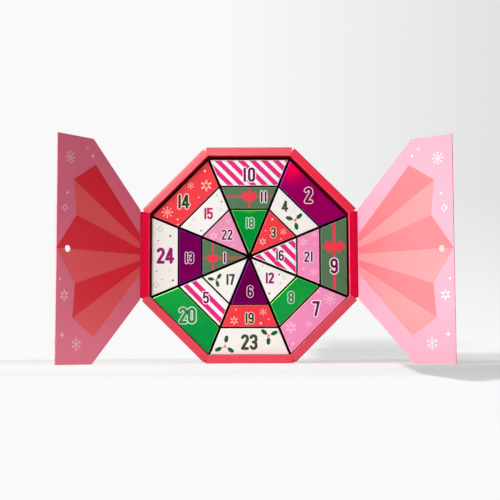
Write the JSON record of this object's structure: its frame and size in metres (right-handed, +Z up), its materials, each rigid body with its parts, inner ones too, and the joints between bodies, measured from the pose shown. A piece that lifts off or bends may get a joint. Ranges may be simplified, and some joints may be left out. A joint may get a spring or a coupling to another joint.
{
  "type": "advent calendar",
  "caption": "Standing octagonal advent calendar: a shallow board tray of wedge-shaped lidded gift boxes, with two folding half-octagon wings.",
  "frame": {"origin": "centre of the underside of the bottom wall, which the calendar stands on", "axes": "+X to the right across both open wings, +Y from the open front to the back board, +Z up"},
  "size_m": [0.6851, 0.2131, 0.4],
  "materials": {
    "tray_red": "satin laminated board",
    "tape_red": "paper hinge",
    "wing_red": "satin laminated board with a printed inner face",
    "sage": "satin printed carton board",
    "stripe": "satin printed carton board",
    "cream": "satin printed carton board",
    "coral": "satin printed carton board",
    "pink": "satin printed carton board",
    "green_foil": "metallic foil board",
    "purple_foil": "metallic foil board"
  },
  "bodies": {
    "tray": {"back_panel": "tray_red", "wall_top": "tray_red", "wall_top_right": "tray_red", "wall_right": "tray_red", "wall_bottom_right": "tray_red", "wall_bottom": "tray_red", "wall_bottom_left": "tray_red", "wall_left": "tray_red", "wall_top_left": "tray_red", "hinge_tapes": "tape_red"},
    "wing_left": {"wing_left": "wing_red"},
    "wing_right": {"wing_right": "wing_red"},
    "box_18": {"carton_18": "green_foil"},
    "lid_18": {"lid_18": "green_foil"},
    "box_11": {"carton_11": "sage"},
    "lid_11": {"lid_11": "sage"},
    "box_10": {"carton_10": "stripe"},
    "lid_10": {"lid_10": "stripe"},
    "box_03": {"carton_03": "coral"},
    "lid_03": {"lid_03": "coral"},
    "box_04": {"carton_04": "cream"},
    "lid_04": {"lid_04": "cream"},
    "box_02": {"carton_02": "purple_foil"},
    "lid_02": {"lid_02": "purple_foil"},
    "box_16": {"carton_16": "stripe"},
    "lid_16": {"lid_16": "stripe"},
    "box_21": {"carton_21": "pink"},
    "lid_21": {"lid_21": "pink"},
    "box_09": {"carton_09": "sage"},
    "lid_09": {"lid_09": "sage"},
    "box_12": {"carton_12": "cream"},
    "lid_12": {"lid_12": "cream"},
    "box_08": {"carton_08": "green_foil"},
    "lid_08": {"lid_08": "green_foil"},
    "box_07": {"carton_07": "pink"},
    "lid_07": {"lid_07": "pink"},
    "box_06": {"carton_06": "purple_foil"},
    "lid_06": {"lid_06": "purple_foil"},
    "box_19": {"carton_19": "coral"},
    "lid_19": {"lid_19": "coral"},
    "box_23": {"carton_23": "cream"},
    "lid_23": {"lid_23": "cream"},
    "box_17": {"carton_17": "cream"},
    "lid_17": {"lid_17": "cream"},
    "box_05": {"carton_05": "stripe"},
    "lid_05": {"lid_05": "stripe"},
    "box_20": {"carton_20": "green_foil"},
    "lid_20": {"lid_20": "green_foil"},
    "box_01": {"carton_01": "sage"},
    "lid_01": {"lid_01": "sage"},
    "box_13": {"carton_13": "purple_foil"},
    "lid_13": {"lid_13": "purple_foil"},
    "box_24": {"carton_24": "cream"},
    "lid_24": {"lid_24": "cream"},
    "box_22": {"carton_22": "pink"},
    "lid_22": {"lid_22": "pink"},
    "box_15": {"carton_15": "cream"},
    "lid_15": {"lid_15": "cream"},
    "box_14": {"carton_14": "coral"},
    "lid_14": {"lid_14": "coral"}
  },
  "joints": [
    {"name": "wing_left_fold", "type": "hinge", "parent": "tray", "child": "wing_left", "pos_m": [-0.2006, -0.0303, 0.2], "axis": [0, 0, -1], "range_deg": [-130, 50]},
    {"name": "wing_right_fold", "type": "hinge", "parent": "tray", "child": "wing_right", "pos_m": [0.2006, -0.0303, 0.2], "axis": [0, 0, 1], "range_deg": [-140, 40]},
    {"name": "box_18_slide", "type": "slide", "parent": "tray", "child": "box_18", "axis": [0, -1, 0], "range_m": [0, 0.08]},
    {"name": "lid_18_fold", "type": "hinge", "parent": "box_18", "child": "lid_18", "pos_m": [0, -0.02, 0.28338], "axis": [-1, 0, 0], "range_deg": [0, 120]},
    {"name": "box_11_slide", "type": "slide", "parent": "tray", "child": "box_11", "axis": [0, -1, 0], "range_m": [0, 0.08]},
    {"name": "lid_11_fold", "type": "hinge", "parent": "box_11", "child": "lid_11", "pos_m": [0, -0.02, 0.32634], "axis": [-1, 0, 0], "range_deg": [0, 120]},
    {"name": "box_10_slide", "type": "slide", "parent": "tray", "child": "box_10", "axis": [0, -1, 0], "range_m": [0, 0.08]},
    {"name": "lid_10_fold", "type": "hinge", "parent": "box_10", "child": "lid_10", "pos_m": [0, -0.02, 0.3773], "axis": [-1, 0, 0], "range_deg": [0, 90]},
    {"name": "box_03_slide", "type": "slide", "parent": "tray", "child": "box_03", "axis": [0, -1, 0], "range_m": [0, 0.08]},
    {"name": "lid_03_fold", "type": "hinge", "parent": "box_03", "child": "lid_03", "pos_m": [0.06122, -0.02, 0.25802], "axis": [-0.7071, 0, 0.7071], "range_deg": [0, 120]},
    {"name": "box_04_slide", "type": "slide", "parent": "tray", "child": "box_04", "axis": [0, -1, 0], "range_m": [0, 0.08]},
    {"name": "lid_04_fold", "type": "hinge", "parent": "box_04", "child": "lid_04", "pos_m": [0.0916, -0.02, 0.2884], "axis": [-0.7071, 0, 0.7071], "range_deg": [0, 120]},
    {"name": "box_02_slide", "type": "slide", "parent": "tray", "child": "box_02", "axis": [0, -1, 0], "range_m": [0, 0.08]},
    {"name": "lid_02_fold", "type": "hinge", "parent": "box_02", "child": "lid_02", "pos_m": [0.12763, -0.02, 0.32443], "axis": [-0.7071, 0, 0.7071], "range_deg": [0, 90]},
    {"name": "box_16_slide", "type": "slide", "parent": "tray", "child": "box_16", "axis": [0, -1, 0], "range_m": [0, 0.08]},
    {"name": "lid_16_fold", "type": "hinge", "parent": "box_16", "child": "lid_16", "pos_m": [0.08658, -0.02, 0.1968], "axis": [0, 0, 1], "range_deg": [0, 120]},
    {"name": "box_21_slide", "type": "slide", "parent": "tray", "child": "box_21", "axis": [0, -1, 0], "range_m": [0, 0.08]},
    {"name": "lid_21_fold", "type": "hinge", "parent": "box_21", "child": "lid_21", "pos_m": [0.12954, -0.02, 0.1968], "axis": [0, 0, 1], "range_deg": [0, 120]},
    {"name": "box_09_slide", "type": "slide", "parent": "tray", "child": "box_09", "axis": [0, -1, 0], "range_m": [0, 0.08]},
    {"name": "lid_09_fold", "type": "hinge", "parent": "box_09", "child": "lid_09", "pos_m": [0.1805, -0.02, 0.1968], "axis": [0, 0, 1], "range_deg": [0, 90]},
    {"name": "box_12_slide", "type": "slide", "parent": "tray", "child": "box_12", "axis": [0, -1, 0], "range_m": [0, 0.08]},
    {"name": "lid_12_fold", "type": "hinge", "parent": "box_12", "child": "lid_12", "pos_m": [0.06122, -0.02, 0.13558], "axis": [0.7071, 0, 0.7071], "range_deg": [0, 120]},
    {"name": "box_08_slide", "type": "slide", "parent": "tray", "child": "box_08", "axis": [0, -1, 0], "range_m": [0, 0.08]},
    {"name": "lid_08_fold", "type": "hinge", "parent": "box_08", "child": "lid_08", "pos_m": [0.0916, -0.02, 0.1052], "axis": [0.7071, 0, 0.7071], "range_deg": [0, 120]},
    {"name": "box_07_slide", "type": "slide", "parent": "tray", "child": "box_07", "axis": [0, -1, 0], "range_m": [0, 0.08]},
    {"name": "lid_07_fold", "type": "hinge", "parent": "box_07", "child": "lid_07", "pos_m": [0.12763, -0.02, 0.06917], "axis": [0.7071, 0, 0.7071], "range_deg": [0, 90]},
    {"name": "box_06_slide", "type": "slide", "parent": "tray", "child": "box_06", "axis": [0, -1, 0], "range_m": [0, 0.08]},
    {"name": "lid_06_fold", "type": "hinge", "parent": "box_06", "child": "lid_06", "pos_m": [0, -0.02, 0.11022], "axis": [1, 0, 0], "range_deg": [0, 120]},
    {"name": "box_19_slide", "type": "slide", "parent": "tray", "child": "box_19", "axis": [0, -1, 0], "range_m": [0, 0.08]},
    {"name": "lid_19_fold", "type": "hinge", "parent": "box_19", "child": "lid_19", "pos_m": [0, -0.02, 0.06726], "axis": [1, 0, 0], "range_deg": [0, 120]},
    {"name": "box_23_slide", "type": "slide", "parent": "tray", "child": "box_23", "axis": [0, -1, 0], "range_m": [0, 0.08]},
    {"name": "lid_23_fold", "type": "hinge", "parent": "box_23", "child": "lid_23", "pos_m": [0, -0.02, 0.0163], "axis": [1, 0, 0], "range_deg": [0, 90]},
    {"name": "box_17_slide", "type": "slide", "parent": "tray", "child": "box_17", "axis": [0, -1, 0], "range_m": [0, 0.08]},
    {"name": "lid_17_fold", "type": "hinge", "parent": "box_17", "child": "lid_17", "pos_m": [-0.06122, -0.02, 0.13558], "axis": [0.7071, 0, -0.7071], "range_deg": [0, 120]},
    {"name": "box_05_slide", "type": "slide", "parent": "tray", "child": "box_05", "axis": [0, -1, 0], "range_m": [0, 0.08]},
    {"name": "lid_05_fold", "type": "hinge", "parent": "box_05", "child": "lid_05", "pos_m": [-0.0916, -0.02, 0.1052], "axis": [0.7071, 0, -0.7071], "range_deg": [0, 120]},
    {"name": "box_20_slide", "type": "slide", "parent": "tray", "child": "box_20", "axis": [0, -1, 0], "range_m": [0, 0.08]},
    {"name": "lid_20_fold", "type": "hinge", "parent": "box_20", "child": "lid_20", "pos_m": [-0.12763, -0.02, 0.06917], "axis": [0.7071, 0, -0.7071], "range_deg": [0, 90]},
    {"name": "box_01_slide", "type": "slide", "parent": "tray", "child": "box_01", "axis": [0, -1, 0], "range_m": [0, 0.08]},
    {"name": "lid_01_fold", "type": "hinge", "parent": "box_01", "child": "lid_01", "pos_m": [-0.08658, -0.02, 0.1968], "axis": [0, 0, -1], "range_deg": [0, 120]},
    {"name": "box_13_slide", "type": "slide", "parent": "tray", "child": "box_13", "axis": [0, -1, 0], "range_m": [0, 0.08]},
    {"name": "lid_13_fold", "type": "hinge", "parent": "box_13", "child": "lid_13", "pos_m": [-0.12954, -0.02, 0.1968], "axis": [0, 0, -1], "range_deg": [0, 120]},
    {"name": "box_24_slide", "type": "slide", "parent": "tray", "child": "box_24", "axis": [0, -1, 0], "range_m": [0, 0.08]},
    {"name": "lid_24_fold", "type": "hinge", "parent": "box_24", "child": "lid_24", "pos_m": [-0.1805, -0.02, 0.1968], "axis": [0, 0, -1], "range_deg": [0, 90]},
    {"name": "box_22_slide", "type": "slide", "parent": "tray", "child": "box_22", "axis": [0, -1, 0], "range_m": [0, 0.08]},
    {"name": "lid_22_fold", "type": "hinge", "parent": "box_22", "child": "lid_22", "pos_m": [-0.06122, -0.02, 0.25802], "axis": [-0.7071, 0, -0.7071], "range_deg": [0, 120]},
    {"name": "box_15_slide", "type": "slide", "parent": "tray", "child": "box_15", "axis": [0, -1, 0], "range_m": [0, 0.08]},
    {"name": "lid_15_fold", "type": "hinge", "parent": "box_15", "child": "lid_15", "pos_m": [-0.0916, -0.02, 0.2884], "axis": [-0.7071, 0, -0.7071], "range_deg": [0, 120]},
    {"name": "box_14_slide", "type": "slide", "parent": "tray", "child": "box_14", "axis": [0, -1, 0], "range_m": [0, 0.08]},
    {"name": "lid_14_fold", "type": "hinge", "parent": "box_14", "child": "lid_14", "pos_m": [-0.12763, -0.02, 0.32443], "axis": [-0.7071, 0, -0.7071], "range_deg": [0, 90]}
  ]
}
